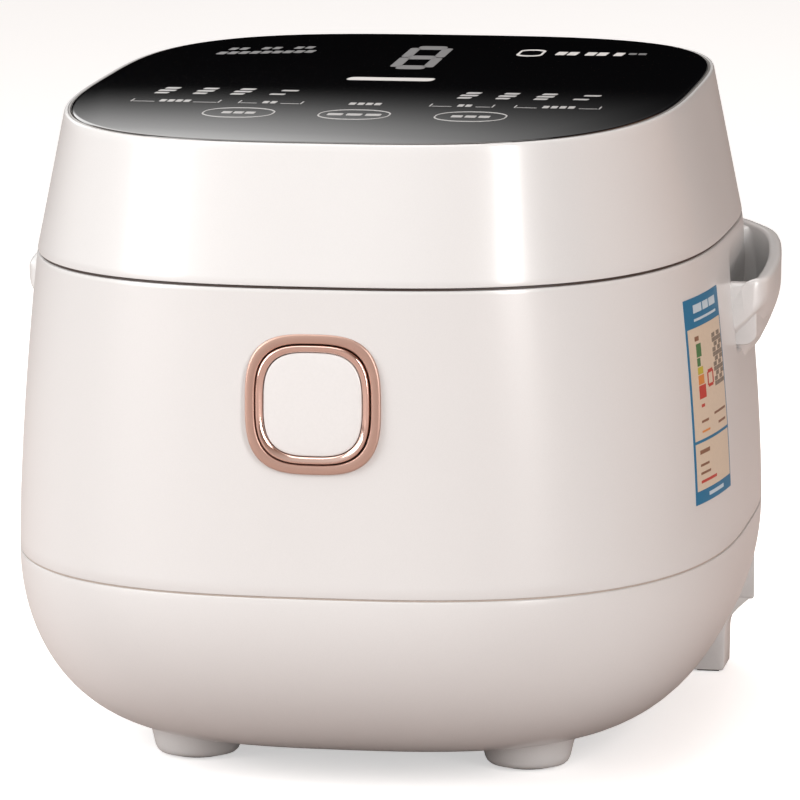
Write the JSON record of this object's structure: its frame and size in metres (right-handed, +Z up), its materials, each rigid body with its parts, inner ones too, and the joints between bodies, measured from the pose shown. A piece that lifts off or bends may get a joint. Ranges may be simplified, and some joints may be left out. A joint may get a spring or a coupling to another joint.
{
  "type": "rice cooker",
  "caption": "Rounded electric rice cooker: hinged lid with a flat touch-glass top, front release button, hollow side grips, lift-out pot and centre-sprung heating plate.",
  "frame": {"origin": "on the surface it stands on, under the middle of its overall box; the pot's axis is the Z axis", "axes": "+Z up, the button and front face -Y, +X to the right as seen from the front"},
  "size_m": [0.2954, 0.3632, 0.2562],
  "materials": {
    "shell_white": "glossy pearl white",
    "rubber_foot": "matt",
    "steel": "satin",
    "steel_sheet": "satin sheet",
    "sticker": "printed film",
    "deck_plastic": "fine satin",
    "cast_aluminium": "cast, turned face",
    "ceramic": null,
    "fuse_sleeve": "glass sleeve",
    "circuit_board": "green laminate",
    "component_black": "moulded",
    "component_blue": "moulded",
    "black_plastic": "fine texture",
    "brass_pin": "plated",
    "wire_sheath": "smooth",
    "rose_gold_satin": "satin rose gold",
    "rose_gold_polished": "polished rose gold",
    "trim_dark": "gloss",
    "black_glass": "back-printed black glass",
    "electrode_foam": "conductive foam",
    "inner_lid_aluminium": "satin anodised",
    "silicone": "translucent",
    "cap_white": "gloss",
    "nonstick_pot": "non-stick coated"
  },
  "bodies": {
    "base": {"base_shell": "shell_white", "foot_pads": "rubber_foot", "base_screws": "steel", "body_shell": "shell_white", "side_sticker": "sticker", "top_deck": "deck_plastic", "pot_well": "steel_sheet", "heating_plate": "cast_aluminium", "plate_mounts": "ceramic", "heater_terminals": "steel", "sensor_bracket": "steel_sheet", "sensor_spring": "steel", "thermal_fuse": "fuse_sleeve", "power_board": "circuit_board", "transformer": "component_black", "heater_relay": "component_blue", "board_capacitors": "component_black", "board_brackets": "deck_plastic", "power_inlet": "black_plastic", "inlet_pins": "brass_pin", "wiring": "wire_sheath", "button_bezel": "rose_gold_satin", "button_guide": "deck_plastic", "button_spring": "steel", "latch_pin": "steel", "hinge_cover": "shell_white", "hinge_pin": "steel"},
    "lid": {"lid_shell": "shell_white", "glass_trim": "trim_dark", "touch_glass": "black_glass", "glass_carrier": "black_plastic", "touch_board": "circuit_board", "touch_electrodes": "electrode_foam", "display_module": "component_black", "lid_liner": "deck_plastic", "inner_lid": "inner_lid_aluminium", "inner_lid_knob": "silicone", "lid_gasket": "silicone", "lid_sensor": "steel", "steam_duct": "deck_plastic", "lid_catch": "deck_plastic", "lid_screws": "steel", "lid_hinge_arm": "deck_plastic"},
    "release_button": {"button_cap": "cap_white", "button_ring": "rose_gold_polished", "button_plunger": "deck_plastic"},
    "latch_lever": {"latch_lever": "deck_plastic"},
    "centre_sensor": {"sensor_cap": "cast_aluminium"},
    "inner_pot": {"inner_pot": "nonstick_pot"},
    "steam_vent": {"vent_cap": "black_plastic"}
  },
  "joints": [
    {"name": "lid_hinge", "type": "hinge", "parent": "base", "child": "lid", "pos_m": [0, 0.1738, 0.1954], "axis": [-1, 0, 0], "range_deg": [0, 85]},
    {"name": "release_button_press", "type": "slide", "parent": "base", "child": "release_button", "axis": [0, 1, 0], "range_m": [0, 0.003], "stiffness_N_per_m": 500, "springref_m": -0.003, "deforming": ["button_spring"]},
    {"name": "latch_lever_turn", "type": "hinge", "parent": "base", "child": "latch_lever", "pos_m": [0, -0.14866, 0.174], "axis": [1, 0, 0], "range_deg": [0, 9.5]},
    {"name": "sensor_press", "type": "slide", "parent": "base", "child": "centre_sensor", "axis": [0, 0, -1], "range_m": [0, 0.003], "stiffness_N_per_m": 300, "springref_m": -0.004, "deforming": ["sensor_spring"]},
    {"name": "pot_turn", "type": "hinge", "parent": "base", "child": "inner_pot", "pos_m": [0, 0, 0.058], "axis": [0, 0, 1], "continuous": true},
    {"name": "vent_cap_pull", "type": "slide", "parent": "lid", "child": "steam_vent", "axis": [0, 0.9718, 0.236], "range_m": [0, 0.018]}
  ],
  "couplings": [
    {"joint": "latch_lever_turn", "follows": "release_button_press", "rad_per_m": 55}
  ]
}
